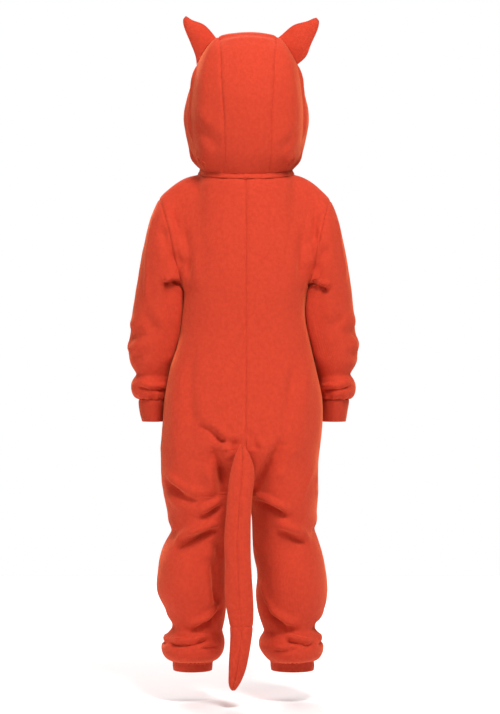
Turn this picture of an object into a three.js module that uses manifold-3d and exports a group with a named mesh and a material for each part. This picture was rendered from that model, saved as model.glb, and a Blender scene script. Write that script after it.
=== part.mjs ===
// A child's hooded fleece onesie with fox ears and a tail, worn, as the hollow cloth that a wearer fills.
// Millimetres, +Z up, the wearer faces -Y, and +X is the wearer's left. The origin is the middle of the neck
// opening, at the height where the garment sits on the shoulders.
// Every piece is cloth with a real wall: panels are grids of points that share their seam lines, and each
// panel is that grid moved half a thickness out and in, with its edges drawn back half a seam gap.
import * as THREE from "three";
import Module from "manifold-3d";
import { mergeVertices } from "three/addons/utils/BufferGeometryUtils.js";

// Driving sizes
const FLEECE = 2; // thickness of the fleece
const BAND_CLOTH = 2.6; // cuffs and ankle bands are fleece folded double and pressed
const TAPE = 1; // zip tape
const SEAM_GAP = 0.3;
const PANEL_COLUMNS = 7; // from the centre line to the side seam
const NECK_COLUMNS = 3; // of those, the ones that end on the neck line
const HOOD_SEAM_CORNER = 1; // the hood's centre panel ends on this corner of the neck line
const YOKE_ROWS = 7; // from the shoulder seam to the underarm
const HOOD_COLUMNS = 10; // hood side panel, from its back seam to the face edge
const HOOD_SHIFT = -3; // the back of the hood sits a little towards the wearer's right
const TORSO_SQUARE = 2.4; // superellipse power of the torso's level sections
const LEG_SQUARE = 2.05;
const UNDERARM_Z = -205;
const ZIP_HALF_GAP = 5; // front edges stand this far from the centre line
const ZIP_END_Z = -480;
const CROTCH_TOP_Z = -474;
const CROTCH_Z = -566;
const LEG_BLEND = 165; // down from the top of the crotch curve

const NECK = { side: 85, sideY: -5, sideZ: 10, backY: 70, backZ: -3, frontY: -70, frontZ: -28 };
const SHOULDER = { left: 157, leftZ: -35, right: 152, rightZ: -38, y: -5, rise: 9 };
const ARMHOLE = { depth: 55, lean: 0.8 };
const LEFT = 1;
const RIGHT = -1;
const BACK = 1;
const FRONT = -1;

// Level sections of the body: how far the side seams and the inner leg seams stand from the centre plane, on
// the wearer's left and right, and how far the back and front reach.
const BODY_COLUMNS = ["z", "sideLeft", "sideRight", "innerLeft", "innerRight", "back", "front"];
const BODY = [
  [-205, 112, 110, 0, 0, 90, 84],
  [-245, 116, 106, 0, 0, 88, 87],
  [-290, 120, 114, 0, 0, 88, 91],
  [-340, 136, 125, 0, 0, 92, 95],
  [-390, 145, 135, 0, 0, 98, 98],
  [-438, 150, 137, 0, 0, 104, 97],
  [-480, 153, 132, 0, 0, 108, 94],
  [-487, 153, 131, 0, 0, 108, 93],
  [-520, 152, 129, 0, 0, 107, 90],
  [-545, 151, 129, 0, 0, 105, 88],
  [-559, 149, 129, 0, 0, 102, 87],
  [-566, 148, 129, 0, 0, 101, 86],
  [-588, 143, 127, 4, 8, 95, 85],
  [-612, 138, 125, 9, 11, 88, 85],
  [-634, 136, 125, 14, 12, 82, 86],
  [-657, 148, 132, 24, 13, 80, 85],
  [-684, 156, 139, 34, 16, 82, 82],
  [-710, 159, 143, 35, 21, 83, 79],
  [-736, 160, 146, 35, 18, 80, 74],
  [-760, 150, 144, 36, 19, 73, 68],
  [-783, 139, 135, 38, 24, 66, 62],
  [-803, 134, 124, 42, 31, 60, 57],
  [-813, 138, 128, 43, 33, 62, 60],
  [-826, 148, 136, 39, 25, 68, 68],
  [-842, 152, 138, 40, 25, 71, 71],
  [-856, 147, 133, 47, 35, 66, 65],
  [-862, 138, 125, 56, 42, 54, 53],
  [-864, 131, 120, 62, 45, 42, 40],
].map(named(BODY_COLUMNS));

// Sleeve rings, each an oval through an outer and an inner point of the frontal plane.
const SLEEVE_COLUMNS = [
  ...["outerLeft", "outerRight", "outerZ"],
  ...["innerLeft", "innerRight", "innerZ"],
  ...["depth", "y"],
];
const SLEEVE = [
  [170, 163, -66, 118, 116, -209, 56, -3],
  [179, 171, -98, 123, 120, -214, 55, -4],
  [187, 179, -135, 122, 116, -223, 54, -6],
  [194, 186, -175, 116, 108, -240, 52, -9],
  [201, 191, -215, 113, 104, -262, 50, -13],
  [207, 196, -255, 114, 106, -287, 48, -18],
  [212, 202, -295, 120, 112, -312, 46, -23],
  [212, 202, -322, 127, 118, -333, 44, -26],
  [202, 192, -342, 136, 126, -349, 38, -29],
  [198, 188, -351, 139, 129, -357, 36, -30],
  [205, 195, -361, 140, 130, -367, 40, -31],
  [208, 198, -375, 142, 132, -379, 42, -32],
  [203, 194, -389, 145, 134, -391, 37, -33],
  [194, 186, -395, 147, 136, -396, 32, -33],
].map(named(SLEEVE_COLUMNS));
const CUFF = [
  [194, 185, -404, 148, 137, -404, 32, -34],
  [191, 182, -421, 149, 138, -421, 31, -35],
  [187, 179, -436, 149, 138, -436, 30, -36],
].map(named(SLEEVE_COLUMNS));
const SLEEVE_CLEAR = 4; // from the middle of the body's wall to the middle of the sleeve's

// Ankle bands: level rings that carry on from the last body section, as the cuffs do from the sleeve.
const ANKLE = [
  [-872, 131, 121, 62, 45, 41, 39],
  [-882, 130, 120, 63, 46, 40, 38],
].map(named(BODY_COLUMNS));

// Hood side panel, a row for each section from the crown down: its back or top seam, the fold behind the ear,
// the cloth standing out in front of it, and the face edge.
const HOOD_ROW_COLUMNS = ["z", "seamX", "seamY", "ridgeX", "flareX", "edgeX", "edgeY", "edgeZ"];
const HOOD = [
  [248, 51, 34, 53, 54, 51, -92, 240],
  [231, 50, 58, 70, 72, 68, -97, 227],
  [204, 48, 75, 87, 90, 84, -100, 203],
  [165, 47, 88, 97, 102, 95, -101, 165],
  [120, 43, 92, 101, 114, 102, -96, 122],
  [76, 41, 87, 99, 106, 92, -87, 76],
  [38, 41, 79, 89, 92, 66, -80, 32],
].map(named(HOOD_ROW_COLUMNS));
const HOOD_CROWN_RISE = 11; // how far the top seam arches up between its ends
const HOOD_ARCH = 8; // how far the centre panel stands out between its seams
const HOOD_FOLD_Y = 14; // the fold behind the ear
const HOOD_FLARE_Y = -48; // where the cloth in front stands furthest out
const HOOD_CROWN_Z = 160; // the arch starts above this height
const HOOD_CENTRE_COLUMNS = 4;

// Ear rows from base to tip, in the frontal plane: the upper and the lower edge, and half the puffed depth.
const EAR_COLUMNS = ["upperX", "upperZ", "lowerX", "lowerZ", "puff"];
const EAR = [
  [61, 265, 91, 223, 7],
  [74, 279, 97, 239, 6.5],
  [87, 285, 103, 254, 5.5],
  [98, 289, 109, 268, 4.2],
  [105, 294, 113, 281, 2.8],
  [109, 296, 113, 291, 1.2],
].map(named(EAR_COLUMNS));
const EAR_COLUMNS_ACROSS = 4;
const EAR_AT = { row: 0.04, lastRow: 2.05, column: 0.56 }; // where its base runs on the hood side panel
const EAR_CLEAR = FLEECE / 2 + SEAM_GAP + 1; // from the middle of the hood's wall to the ear's base
const EAR_SLOPE = { upper: 0.34, lower: 0.14 }; // how steeply the hood falls away there, in half turns
const EAR_DROOP = { upper: 4, lower: 17, tip: 18, down: 3 }; // the right ear leans out and a little down
const EAR_FORWARD = 5; // how far the tips lean towards the face

// Tail stations from the seat down: centre, half width and half depth.
const TAIL_COLUMNS = ["x", "y", "z", "width", "depth"];
const TAIL = [
  [7, 113.6, -472, 5, 3.2],
  [6, 117, -492, 12.5, 6.5],
  [6, 121, -520, 20, 11],
  [10, 122, -552, 21, 13],
  [13, 122, -594, 21, 14],
  [15, 121, -638, 22.5, 14.5],
  [14, 120, -680, 22, 14.5],
  [13, 119, -719, 23.5, 14.5],
  [11, 118, -756, 23.5, 14],
  [8, 117, -791, 19.5, 13.5],
].map(named(TAIL_COLUMNS));
const TAIL_TIP = [
  [10, 116, -823, 17.5, 12],
  [13, 116, -849, 16, 10.5],
  [16, 115, -871, 13.5, 9],
  [20, 115, -889, 10, 7],
  [22, 115, -899, 5.5, 4],
  [22, 115, -904, 1.6, 1.6],
].map(named(TAIL_COLUMNS));
const TAIL_COLUMNS_ROUND = 5; // round each half

const NECK_BAND = { height: 9, bulge: 3.5, lean: 2.5 };
const NECK_CENTRE_Y = -5; // the band leans away from this line
const TAPE_REACH = 14; // from the centre line to the tape's outer edge
const TAPE_INNER = 1.3; // to its inner edge
const TAPE_TAIL = 8; // the tapes run on past the zip's end
const SLIDER_Z = -46;
const SLIDER = { width: 8.6, height: 13, plate: 1.4, corner: 2, play: 0.4, post: 4 };
const BRIDGE = { width: 2.2, height: 8.4, thickness: 1, foot: 1.2, room: 3.5, sunk: 0.2 };
const PULL = { width: 7, length: 24, thickness: 1.2, corner: 2.4, arm: 1.4, drop: 7, play: 0.6 };
const PULL_HOLE = { width: 3, height: 5, up: 4.5 };

function named(columns) {
  return (row) => Object.fromEntries(columns.map((name, i) => [name, row[i]]));
}
const mix = THREE.MathUtils.lerp;
const smooth = (t) => THREE.MathUtils.smoothstep(t, 0, 1);
const point = (x, y, z) => new THREE.Vector3(x, y, z);
const count = (n) => Array.from({ length: n + 1 }, (_, i) => i);

// A smooth line through points, at a share of the way from one point to the next.
function through(points, share) {
  const curve = new THREE.CatmullRomCurve3(points, false, "centripetal");
  return curve.getPoint(share);
}

// ---- Body panels ----

const sideOf = (section, side) => (side === LEFT ? section.sideLeft : section.sideRight);
const innerOf = (section, side) => (side === LEFT ? section.innerLeft : section.innerRight);
const reachOf = (section, face) => (face === BACK ? section.back : section.front);

// A share of the way round a level section, from the centre line (0) to the side seam (1).
function torsoPoint(section, side, face, share) {
  const angle = (share * Math.PI) / 2;
  const power = 2 / TORSO_SQUARE;
  const start = face === FRONT && section.z >= ZIP_END_Z ? ZIP_HALF_GAP : 0;
  const x = start + (sideOf(section, side) - start) * Math.sin(angle) ** power;
  const y = reachOf(section, face) * Math.max(Math.cos(angle), 0) ** power;
  return point(side * x, face * y, section.z);
}

function legPoint(section, side, face, share) {
  const angle = share * Math.PI;
  const inner = innerOf(section, side);
  const outer = sideOf(section, side);
  const power = 2 / LEG_SQUARE;
  const across = -Math.sign(Math.cos(angle)) * Math.abs(Math.cos(angle)) ** power;
  const x = (inner + outer) / 2 + ((outer - inner) / 2) * across;
  const y = reachOf(section, face) * Math.max(Math.sin(angle), 0) ** power;
  return point(side * x, face * y, section.z);
}

// The centre seam curves under the seat as a quarter oval, and the cloth beside it turns into the leg's
// section more slowly.
function bodyPoint(section, side, face, share) {
  const { clamp, smoothstep } = THREE.MathUtils;
  const down = clamp((CROTCH_TOP_Z - section.z) / (CROTCH_TOP_Z - CROTCH_Z), 0, 1);
  const atSeam = section.innerLeft > 0 ? 1 : 1 - Math.sqrt(1 - down * down);
  const beside = smoothstep(CROTCH_TOP_Z - section.z, -30, LEG_BLEND);
  const split = mix(atSeam, beside, smoothstep(share, 0, 0.45));
  return torsoPoint(section, side, face, share).lerp(legPoint(section, side, face, share), split);
}

function neckPoint(side, face, share) {
  const angle = (share * Math.PI) / 2;
  const middleY = face === BACK ? NECK.backY : NECK.frontY;
  const middleZ = face === BACK ? NECK.backZ : NECK.frontZ;
  const start = face === BACK ? 0 : ZIP_HALF_GAP;
  const x = start + (NECK.side - start) * Math.sin(angle);
  const y = mix(NECK.sideY, middleY, Math.cos(angle));
  return point(side * x, y, mix(NECK.sideZ, middleZ, Math.cos(angle)));
}

function shoulderPoint(side, share) {
  const tipX = side === LEFT ? SHOULDER.left : SHOULDER.right;
  const tipZ = side === LEFT ? SHOULDER.leftZ : SHOULDER.rightZ;
  const x = mix(NECK.side, tipX, share);
  const z = mix(NECK.sideZ, tipZ, share) + SHOULDER.rise * Math.sin(share * Math.PI);
  return point(side * x, mix(NECK.sideY, SHOULDER.y, share), z);
}

// The yoke runs from the neck line and shoulder seam down to the underarm, and its side is the armhole.
function yokePoint(side, face, share, down) {
  const neckShare = NECK_COLUMNS / PANEL_COLUMNS;
  const onNeck = Math.min(share / neckShare, 1);
  const onShoulder = Math.max((share - neckShare) / (1 - neckShare), 0);
  const top = onShoulder > 0 ? shoulderPoint(side, onShoulder) : neckPoint(side, face, onNeck);
  const chest = bodyPoint(BODY[0], side, face, share);
  const drop = (1 - Math.cos(down * Math.PI)) / 2;
  // A quarter oval over the shoulder, and nearly straight down from the middle of the neck.
  const over = mix(Math.sin((drop * Math.PI) / 2), Math.sqrt(1 - (1 - drop) ** 2), onNeck);
  const around = 2 * Math.sqrt(drop * (1 - drop)); // half an oval round the armhole
  const arm = onShoulder ** 2;
  return point(
    mix(top.x, chest.x, drop ** mix(1, ARMHOLE.lean, arm)),
    mix(top.y, chest.y, mix(over, drop, arm)) + face * ARMHOLE.depth * around * arm,
    mix(top.z, chest.z, drop),
  );
}

function bodyGrid(side, face) {
  const shares = count(PANEL_COLUMNS).map((c) => c / PANEL_COLUMNS);
  const yoke = count(YOKE_ROWS).map((r) => shares.map((s) => yokePoint(side, face, s, r / YOKE_ROWS)));
  const below = BODY.slice(1).map((section) => shares.map((s) => bodyPoint(section, side, face, s)));
  return [...yoke, ...below];
}

// ---- Sleeves, cuffs and ankle bands ----

function armholeRing(side) {
  const half = YOKE_ROWS;
  const back = count(half).map((r) => yokePoint(side, BACK, 1, r / half));
  const front = count(half).map((r) => yokePoint(side, FRONT, 1, r / half));
  return [...back, ...front.slice(1, -1).reverse()];
}

// How far the body's side stands from the centre plane, at any depth and height below the underarm.
function sideReach(side, y, z) {
  const below = Math.max(1, BODY.findIndex((section) => section.z <= z));
  const [upper, lower] = [BODY[below - 1], BODY[below]];
  const t = Math.max(0, (upper.z - z) / (upper.z - lower.z));
  const face = y > 0 ? BACK : FRONT;
  const width = mix(sideOf(upper, side), sideOf(lower, side), t);
  const depth = mix(reachOf(upper, face), reachOf(lower, face), t);
  return width * Math.max(0, 1 - Math.abs(y / depth) ** TORSO_SQUARE) ** (1 / TORSO_SQUARE);
}

// The arm hangs against the body, so the inner side of its sleeve follows the body there, just clear of it.
function sleeveRing(ring, side) {
  const outer = side === LEFT ? ring.outerLeft : ring.outerRight;
  const inner = side === LEFT ? ring.innerLeft : ring.innerRight;
  return count(2 * YOKE_ROWS - 1).map((i) => {
    const angle = (i / YOKE_ROWS) * Math.PI;
    const along = (1 + Math.cos(angle)) / 2;
    const y = ring.y + ring.depth * Math.sin(angle);
    const z = mix(ring.innerZ, ring.outerZ, along);
    const x = Math.max(mix(inner, outer, along), sideReach(side, y, z) + SLEEVE_CLEAR);
    return point(side * x, y, z);
  });
}

function legRing(section, side) {
  const shares = count(PANEL_COLUMNS).map((c) => c / PANEL_COLUMNS);
  const back = shares.map((s) => legPoint(section, side, BACK, s));
  const front = shares.map((s) => legPoint(section, side, FRONT, s));
  return [...back, ...front.slice(1, -1).reverse()];
}

// ---- Hood ----

// Corners of the neck line: 0 at the centre back, NECK_COLUMNS at the shoulder, twice that at the zip.
function neckCorner(side, corner) {
  if (corner <= NECK_COLUMNS) return neckPoint(side, BACK, corner / NECK_COLUMNS);
  return neckPoint(side, FRONT, 2 - corner / NECK_COLUMNS);
}

// Rows of the neck band: 0 on the body's neck line, 1 on its bulge, 2 on the hood's lower edge.
function bandCorner(side, corner, row) {
  const at = neckCorner(side, corner);
  const outward = point(at.x, at.y - NECK_CENTRE_Y, 0).normalize();
  const off = row === 1 ? NECK_BAND.bulge : -NECK_BAND.lean;
  if (row > 0) at.addScaledVector(outward, off).add(point(0, 0, (NECK_BAND.height * row) / 2));
  at.x = side * Math.max(side * at.x, at.y < 0 ? ZIP_HALF_GAP : 0);
  return at;
}

// The hood's lower edge follows the straight pieces between the band's corners.
function hoodNeckPoint(side, corner) {
  const whole = Math.min(Math.floor(corner), 2 * NECK_COLUMNS - 1);
  return bandCorner(side, whole, 2).lerp(bandCorner(side, whole + 1, 2), corner - whole);
}

function hoodRow(row, side) {
  const lines = [
    [row.seamX, row.seamY],
    [mix(row.seamX, row.ridgeX, 0.72), mix(row.seamY, HOOD_FOLD_Y, 0.3)],
    [row.ridgeX, HOOD_FOLD_Y],
    [mix(row.ridgeX, row.flareX, 0.25), mix(HOOD_FOLD_Y, HOOD_FLARE_Y, 0.45)],
    [row.flareX, HOOD_FLARE_Y],
    [row.edgeX, row.edgeY],
  ].map(([x, y]) => point(x, y, 0));
  return (share) => {
    const at = through(lines, share);
    const high = Math.max(0, row.z - HOOD_CROWN_Z) / (HOOD[0].z - HOOD_CROWN_Z);
    const arch = HOOD_CROWN_RISE * high * Math.sin(share * Math.PI);
    const shift = HOOD_SHIFT * (1 - smooth(share));
    return point(side * at.x + shift, at.y, mix(row.z, row.edgeZ, share) + arch);
  };
}

function hoodSideGrid(side) {
  const shares = count(HOOD_COLUMNS).map((c) => c / HOOD_COLUMNS);
  const rows = HOOD.map((row) => shares.map(hoodRow(row, side)));
  const neck = shares.map((s) => hoodNeckPoint(side, mix(HOOD_SEAM_CORNER, 2 * NECK_COLUMNS, s)));
  return [...rows, neck];
}

// A point anywhere on the hood side panel, by row and by share of the way to the face edge.
function hoodSidePoint(side, row, share) {
  const grid = hoodSideGrid(side);
  const r = Math.min(Math.floor(row), grid.length - 2);
  const c = Math.min(Math.floor(share * HOOD_COLUMNS), HOOD_COLUMNS - 1);
  const u = share * HOOD_COLUMNS - c;
  const upper = grid[r][c].clone().lerp(grid[r][c + 1], u);
  const lower = grid[r + 1][c].clone().lerp(grid[r + 1][c + 1], u);
  return upper.lerp(lower, row - r);
}

// The centre panel spans the seams of both side panels, from the nape up over the crown to the face.
function hoodCentreGrid() {
  const columns = HOOD_CENTRE_COLUMNS;
  const seam = (side) => {
    const grid = hoodSideGrid(side);
    return [...grid.map((row) => row[0]).reverse(), ...grid[0].slice(1)];
  };
  const left = seam(LEFT);
  const right = seam(RIGHT);
  const last = left.length - 1;
  return left.map((a, i) => {
    if (i === 0) return [2, 1, 0, 1, 2].map((c, k) => hoodNeckPoint(k < 2 ? LEFT : RIGHT, c / 2));
    const b = right[i];
    const before = left[Math.max(i - 1, 0)];
    const after = left[Math.min(i + 1, last)];
    const along = after.clone().sub(before).normalize();
    const outwards = b.clone().sub(a).normalize().cross(along);
    const arch = HOOD_ARCH * smooth(Math.min(1, (i + 0.6) / 3));
    return count(columns).map((c) => {
      const t = c / columns;
      return a.clone().lerp(b, t).addScaledVector(outwards, arch * Math.sin(t * Math.PI));
    });
  });
}

// ---- Ears and tail ----

function earGrid(side, face) {
  const columns = EAR_COLUMNS_ACROSS;
  const droop = side === LEFT ? 0 : 1;
  const puffAt = (puff, t) => face * ((FLEECE + SEAM_GAP) / 2 + puff * Math.sin(t * Math.PI) ** 0.8);
  const base = count(columns).map((c) => {
    const t = c / columns;
    const foot = hoodSidePoint(side, mix(EAR_AT.row, EAR_AT.lastRow, t), EAR_AT.column);
    const slope = Math.PI * mix(EAR_SLOPE.upper, EAR_SLOPE.lower, t);
    const off = point(side * Math.cos(slope), 0, Math.sin(slope)).multiplyScalar(EAR_CLEAR);
    return foot.add(off).add(point(0, puffAt(EAR[0].puff, t), 0));
  });
  const y = base[columns / 2].y - puffAt(EAR[0].puff, 0.5);
  const rows = EAR.map((row, i) => {
    const far = (i + 1) / EAR.length;
    return count(columns).map((c) => {
      const t = c / columns;
      const lean = mix(mix(EAR_DROOP.upper, EAR_DROOP.lower, t), EAR_DROOP.tip, far);
      return point(
        side * mix(row.upperX, row.lowerX, t) - droop * lean,
        y - EAR_FORWARD * far * far + puffAt(row.puff, t),
        mix(row.upperZ, row.lowerZ, t) - droop * EAR_DROOP.down * far,
      );
    });
  });
  return [base, ...rows];
}

function tailGrid(stations, side) {
  return stations.map((s) =>
    count(TAIL_COLUMNS_ROUND).map((c) => {
      const angle = (c / TAIL_COLUMNS_ROUND) * Math.PI; // from the back seam round to the front seam
      return point(s.x + side * s.width * Math.sin(angle), s.y + s.depth * Math.cos(angle), s.z);
    }),
  );
}

// ---- Neck band and zip tapes ----

function neckBandGrid() {
  const corners = count(2 * NECK_COLUMNS);
  return [0, 1, 2].map((row) => [
    ...corners.map((c) => bandCorner(LEFT, c, row)).reverse(),
    ...corners.slice(1).map((c) => bandCorner(RIGHT, c, row)),
  ]);
}

function zipTapeGrid(side) {
  const inwards = (FLEECE + TAPE) / 2 + SEAM_GAP;
  const rows = bodyGrid(side, FRONT).filter((row) => row[0].z >= ZIP_END_Z - TAPE_TAIL);
  return rows.map((row) => {
    const [edge, next] = row;
    const reach = (TAPE_REACH - Math.abs(edge.x)) / Math.abs(next.x - edge.x);
    const outer = edge.clone().lerp(next, reach);
    const centre = point(side * TAPE_INNER, edge.y, edge.z);
    return [centre, outer].map((p) => p.add(point(0, inwards, 0)));
  });
}

// ---- Walls ----

const keyOf = (p) => [p.x, p.y, p.z].map((v) => Math.round(v * 20)).join();

// Adds a grid's facet normals to the sums that its neighbours share, so that walls meet along a seam.
function addNormals(sums, grid, flip, wrap) {
  const columns = grid[0].length;
  const last = wrap ? columns : columns - 1;
  for (let r = 0; r < grid.length - 1; r++) {
    for (let c = 0; c < last; c++) {
      const next = (c + 1) % columns;
      const corners = [grid[r][c], grid[r][next], grid[r + 1][next], grid[r + 1][c]];
      const across = corners[2].clone().sub(corners[0]);
      const normal = across.cross(corners[3].clone().sub(corners[1])).multiplyScalar(flip ? -1 : 1);
      for (const corner of corners) {
        const key = keyOf(corner);
        if (!sums.has(key)) sums.set(key, point(0, 0, 0));
        sums.get(key).add(normal);
      }
    }
  }
}

// A closed wall round a grid. An open grid's four edges are drawn back by half the seam gap.
function wall({ grid, sums, thickness = FLEECE, flip = false, wrap = false }) {
  const rows = grid.length;
  const columns = grid[0].length;
  const lastRow = rows - 1;
  const lastColumn = columns - 1;
  const positions = [];
  // The way inwards from one straight piece of an edge, with the panel on its right hand.
  const inward = (normal, from, to) =>
    normal.clone().cross(to.clone().sub(from)).normalize().multiplyScalar(flip ? -1 : 1);
  for (const layer of [0.5, -0.5]) {
    grid.forEach((row, r) =>
      row.forEach((p, c) => {
        const normal = sums.get(keyOf(p)).clone().normalize();
        const at = p.clone().addScaledVector(normal, layer * thickness);
        const right = row[wrap ? (c + 1) % columns : c + 1];
        const left = row[wrap ? (c + columns - 1) % columns : c - 1];
        const steps = [];
        if (r === 0 && right) steps.push(inward(normal, p, right));
        if (r === 0 && left) steps.push(inward(normal, left, p));
        if (r === lastRow && right) steps.push(inward(normal, right, p));
        if (r === lastRow && left) steps.push(inward(normal, p, left));
        if (!wrap && c === lastColumn && r < lastRow) steps.push(inward(normal, p, grid[r + 1][c]));
        if (!wrap && c === lastColumn && r > 0) steps.push(inward(normal, grid[r - 1][c], p));
        if (!wrap && c === 0 && r < lastRow) steps.push(inward(normal, grid[r + 1][c], p));
        if (!wrap && c === 0 && r > 0) steps.push(inward(normal, p, grid[r - 1][c]));
        const mitre = steps.length === 2 ? Math.max(1 + steps[0].dot(steps[1]), 0.4) : 1;
        for (const step of steps) at.addScaledVector(step, SEAM_GAP / 2 / mitre);
        positions.push(at.x, at.y, at.z);
      }),
    );
  }
  const layerSize = rows * columns;
  const index = [];
  const quad = (a, b, c, d) => index.push(...(flip ? [a, c, b, a, d, c] : [a, b, c, a, c, d]));
  const vertex = (layer, r, c) => layer * layerSize + r * columns + (c % columns);
  const last = wrap ? columns : columns - 1;
  for (let r = 0; r < rows - 1; r++) {
    for (let c = 0; c < last; c++) {
      quad(vertex(0, r, c), vertex(0, r, c + 1), vertex(0, r + 1, c + 1), vertex(0, r + 1, c));
      quad(vertex(1, r, c), vertex(1, r + 1, c), vertex(1, r + 1, c + 1), vertex(1, r, c + 1));
    }
  }
  // The rim from one grid point to the next, cut across the same way as the rim that it meets at a seam.
  const height = ([r, c]) => grid[r][c % columns].z + grid[r][c % columns].y / 1000;
  const rim = (from, to) => {
    const corners = [vertex(0, ...from), vertex(1, ...from), vertex(1, ...to), vertex(0, ...to)];
    if (height(from) < height(to)) corners.push(corners.shift());
    quad(...corners);
  };
  for (let c = 0; c < last; c++) {
    rim([0, c], [0, c + 1]);
    rim([lastRow, c + 1], [lastRow, c]);
  }
  for (let r = 0; !wrap && r < lastRow; r++) {
    rim([r + 1, 0], [r, 0]);
    rim([r, lastColumn], [r + 1, lastColumn]);
  }
  const geometry = new THREE.BufferGeometry();
  geometry.setAttribute("position", new THREE.Float32BufferAttribute(positions, 3));
  geometry.setIndex(index);
  geometry.computeVertexNormals();
  return geometry;
}

// ---- Zip slider and pull ----

const wasm = await Module();
wasm.setup();

function solid(geometry) {
  const bare = geometry.clone();
  bare.deleteAttribute("normal");
  bare.deleteAttribute("uv");
  const merged = mergeVertices(bare, 1e-4);
  const mesh = { numProp: 3, vertProperties: merged.attributes.position.array };
  return new wasm.Manifold(new wasm.Mesh({ ...mesh, triVerts: new Uint32Array(merged.index.array) }));
}

function geometryOf(manifold) {
  const mesh = manifold.getMesh();
  const geometry = new THREE.BufferGeometry();
  geometry.setAttribute("position", new THREE.Float32BufferAttribute(mesh.vertProperties, 3));
  geometry.setIndex(Array.from(mesh.triVerts));
  geometry.computeVertexNormals();
  return geometry;
}

const block = (x, y, z, width, depth, height) =>
  solid(new THREE.BoxGeometry(width, depth, height).translate(x, y, z));

// A plate in the frontal plane with rounded corners.
function plate(width, height, thickness, corner) {
  const w = width / 2 - corner;
  const h = height / 2 - corner;
  const outline = new THREE.Shape();
  outline.absarc(w, h, corner, 0, Math.PI / 2);
  outline.absarc(-w, h, corner, Math.PI / 2, Math.PI);
  outline.absarc(-w, -h, corner, Math.PI, 1.5 * Math.PI);
  outline.absarc(w, -h, corner, 1.5 * Math.PI, 2 * Math.PI);
  const options = { depth: thickness, bevelEnabled: false, curveSegments: 4 };
  const made = new THREE.ExtrudeGeometry(outline, options);
  return solid(made.translate(0, 0, -thickness / 2).rotateX(Math.PI / 2));
}

// The slider's own frame: the tapes' middle plane is y = 0 and its front faces -Y.
const plateY = -(TAPE / 2 + SLIDER.play + SLIDER.plate / 2);
const sliderFace = plateY - SLIDER.plate / 2;

function sliderGeometry() {
  const { width, height, corner, post } = SLIDER;
  const front = plate(width, height, SLIDER.plate, corner).translate([0, plateY, 0]);
  const back = plate(width, height, SLIDER.plate, corner).translate([0, -plateY, 0]);
  const between = block(0, 0, (height - post) / 2 - 1, 2 * TAPE_INNER - SLIDER.play * 2, -2 * plateY, post);
  const footY = sliderFace - BRIDGE.room / 2 + BRIDGE.sunk;
  const footZ = (BRIDGE.height - BRIDGE.foot) / 2;
  const feet = [-1, 1].map((s) => block(0, footY, s * footZ, BRIDGE.width, BRIDGE.room, BRIDGE.foot));
  const topY = sliderFace - BRIDGE.room + BRIDGE.sunk;
  const top = block(0, topY, 0, BRIDGE.width, BRIDGE.thickness, BRIDGE.height);
  return geometryOf(front.add(back).add(between).add(feet[0]).add(feet[1]).add(top));
}

// The pull's own frame: its bar, which lies under the slider's bridge, is on the X axis through the origin.
function pullGeometry() {
  const { width, length, thickness, corner, arm, drop } = PULL;
  const bar = block(0, 0, 0, width, thickness, thickness);
  const armHeight = drop + thickness / 2;
  const arms = [-1, 1].map((s) => block((s * (width - arm)) / 2, 0, -drop / 2, arm, thickness, armHeight));
  const tabBottom = -drop - length + thickness;
  const tab = plate(width, length, thickness, corner).translate([0, 0, tabBottom + length / 2]);
  const holeZ = tabBottom + PULL_HOLE.up + PULL_HOLE.height / 2;
  const hole = block(0, 0, holeZ, PULL_HOLE.width, 3 * thickness, PULL_HOLE.height);
  return geometryOf(bar.add(arms[0]).add(arms[1]).add(tab).subtract(hole));
}

// ---- Materials ----

const fleece = (colour) => new THREE.MeshStandardMaterial({ color: colour, roughness: 0.95, metalness: 0 });
const orangeFleece = fleece(0xd9452c);
const pressedFleece = fleece(0xcf3f28);
const zipTapeCloth = new THREE.MeshStandardMaterial({ color: 0xb83a22, roughness: 0.85, metalness: 0 });
const castZinc = new THREE.MeshStandardMaterial({ color: 0xb9b4ad, roughness: 0.35, metalness: 1 });

// ---- The garment ----

const onesie = new THREE.Group();
function sew(name, geometry, material) {
  const mesh = new THREE.Mesh(geometry, material);
  mesh.name = name;
  onesie.add(mesh);
}

const sides = [
  [LEFT, "left"],
  [RIGHT, "right"],
];
const faces = [
  [BACK, "back"],
  [FRONT, "front"],
];

// Pieces that are sewn together share one set of normals, so their walls end in parallel faces at a seam.
const sewn = [];
for (const [side, sideName] of sides) {
  const other = side !== LEFT;
  for (const [face, faceName] of faces) {
    sewn.push({ name: `${faceName}_${sideName}`, grid: bodyGrid(side, face), flip: side * face < 0 });
  }
  const sleeve = [armholeRing(side), ...SLEEVE.map((ring) => sleeveRing(ring, side))];
  sewn.push({ name: `sleeve_${sideName}`, grid: sleeve, flip: !other, wrap: true });
  const cuff = [SLEEVE.at(-1), ...CUFF].map((ring) => sleeveRing(ring, side));
  sewn.push({ name: `cuff_${sideName}`, grid: cuff, flip: !other, wrap: true, thickness: BAND_CLOTH });
  const ankle = [BODY.at(-1), ...ANKLE].map((section) => legRing(section, side));
  sewn.push({ name: `ankle_${sideName}`, grid: ankle, flip: other, wrap: true, thickness: BAND_CLOTH });
  sewn.push({ name: `hood_${sideName}`, grid: hoodSideGrid(side), flip: other });
  sewn.push({ name: `tail_${sideName}`, grid: tailGrid(TAIL, side), flip: other });
  sewn.push({ name: `tail_tip_${sideName}`, grid: tailGrid([TAIL.at(-1), ...TAIL_TIP], side), flip: other });
}
sewn.push({ name: "hood_centre", grid: hoodCentreGrid() });
sewn.push({ name: "neck_band", grid: neckBandGrid() });

const sums = new Map();
for (const { grid, flip, wrap } of sewn) addNormals(sums, grid, flip, wrap);
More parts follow.
